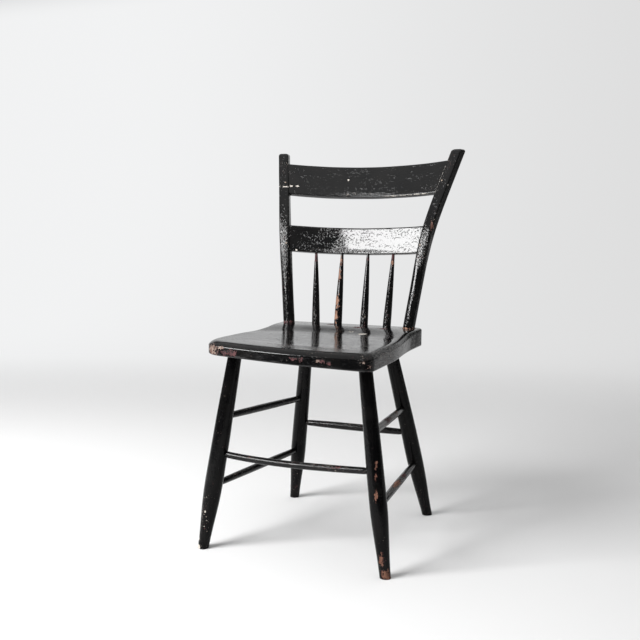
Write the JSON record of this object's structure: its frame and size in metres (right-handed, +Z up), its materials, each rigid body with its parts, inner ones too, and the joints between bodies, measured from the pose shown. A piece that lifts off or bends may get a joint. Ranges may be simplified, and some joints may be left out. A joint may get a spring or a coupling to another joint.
{
  "type": "plank seat kitchen chair",
  "caption": "Armless wooden side chair with a dished plank seat, raked turned legs tied by stretchers, bent back posts, slats and tapered spindles, in chipped black paint.",
  "frame": {"origin": "on the floor, at the middle of the whole chair's footprint box", "axes": "+Z up, the chair faces -Y, +X to the viewer's right when looking at its front"},
  "size_m": [0.4532, 0.494, 0.826],
  "materials": {
    "seat_paint": "worn gloss black paint over maroon primer, rubbed through to bare wood at the edges",
    "leg_paint": "gloss black paint, scratched and peeled to orange-brown wood near the feet",
    "stretcher_paint": "gloss black paint, worn brown where feet rested",
    "post_paint": "gloss black paint with chipped arrises",
    "slat_paint": "gloss black paint, brushed and speckled",
    "spindle_paint": "gloss black paint, peeled to orange-brown wood in patches",
    "peg_wood": "small pale pegs, painted over and rubbed bare"
  },
  "bodies": {
    "root": {"seat": "seat_paint", "leg_front_left": "leg_paint", "leg_front_right": "leg_paint", "leg_rear_left": "leg_paint", "leg_rear_right": "leg_paint", "stretcher_front": "stretcher_paint", "stretcher_rear": "stretcher_paint", "stretcher_upper_left": "stretcher_paint", "stretcher_upper_right": "stretcher_paint", "stretcher_lower_left": "stretcher_paint", "stretcher_lower_right": "stretcher_paint", "post_left": "post_paint", "post_right": "post_paint", "crest_rail": "slat_paint", "mid_slat": "slat_paint", "spindle_outer_left": "spindle_paint", "spindle_inner_left": "spindle_paint", "spindle_inner_right": "spindle_paint", "spindle_outer_right": "spindle_paint", "tenon_pegs": "peg_wood"}
  },
  "joints": []
}
